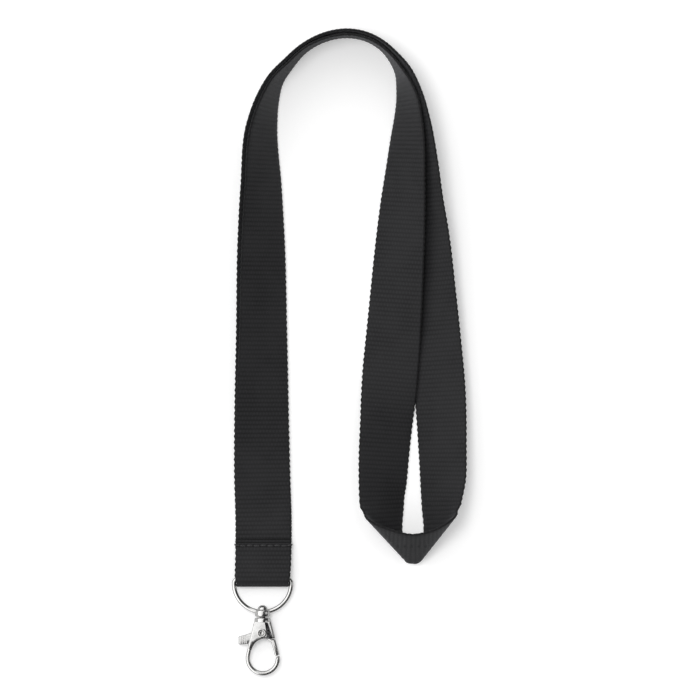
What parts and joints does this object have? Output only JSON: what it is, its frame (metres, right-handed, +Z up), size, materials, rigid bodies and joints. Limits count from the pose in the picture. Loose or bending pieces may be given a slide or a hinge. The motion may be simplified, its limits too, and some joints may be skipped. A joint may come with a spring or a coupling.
{
  "type": "lanyard",
  "caption": "Neck lanyard of flat woven webbing, stitched round a D ring that carries a swivel trigger hook for a badge or keys.",
  "frame": {"origin": "middle of the lanyard's outline, on the plane that it lies on", "axes": "+Y from the hook up the leg to the crown of the neck loop, +X to the right, +Z up from the surface"},
  "size_m": [0.0852, 0.2341, 0.0208],
  "materials": {
    "webbing": "woven polyester, charcoal black, ribbed",
    "thread": "bonded polyester sewing thread",
    "ring_nickel": "nickel plated wire",
    "hook_nickel": "nickel plated zinc casting",
    "spring_steel": "spring steel wire",
    "rivet_steel": "nickel plated steel"
  },
  "bodies": {
    "strap": {"webbing": "webbing", "needle_thread": "thread", "bobbin_thread": "thread"},
    "ring": {"d_ring": "ring_nickel"},
    "eye": {"swivel_eye": "hook_nickel"},
    "hook": {"hook_body": "hook_nickel", "pivot_rivet": "rivet_steel", "trigger_spring": "spring_steel"},
    "lever": {"trigger": "hook_nickel"}
  },
  "joints": [
    {"name": "ring_swing", "type": "hinge", "parent": "strap", "child": "ring", "pos_m": [-0.0313, -0.082, 0.0029], "axis": [1, 0, 0], "range_deg": [-90, 90]},
    {"name": "eye_swing", "type": "hinge", "parent": "ring", "child": "eye", "pos_m": [-0.0313, -0.094, 0.0029], "axis": [1, 0, 0], "range_deg": [-80, 80]},
    {"name": "hook_swivel", "type": "hinge", "parent": "eye", "child": "hook", "pos_m": [-0.0313, -0.097, 0.0029], "axis": [0, -1, 0], "continuous": true},
    {"name": "trigger_pull", "type": "hinge", "parent": "hook", "child": "lever", "pos_m": [-0.0316, -0.1016, 0.0029], "axis": [0, 0, -1], "range_deg": [0, 28], "stiffness_Nm_per_rad": 0.004, "springref_deg": -17.19, "deforming": ["trigger_spring"]}
  ]
}
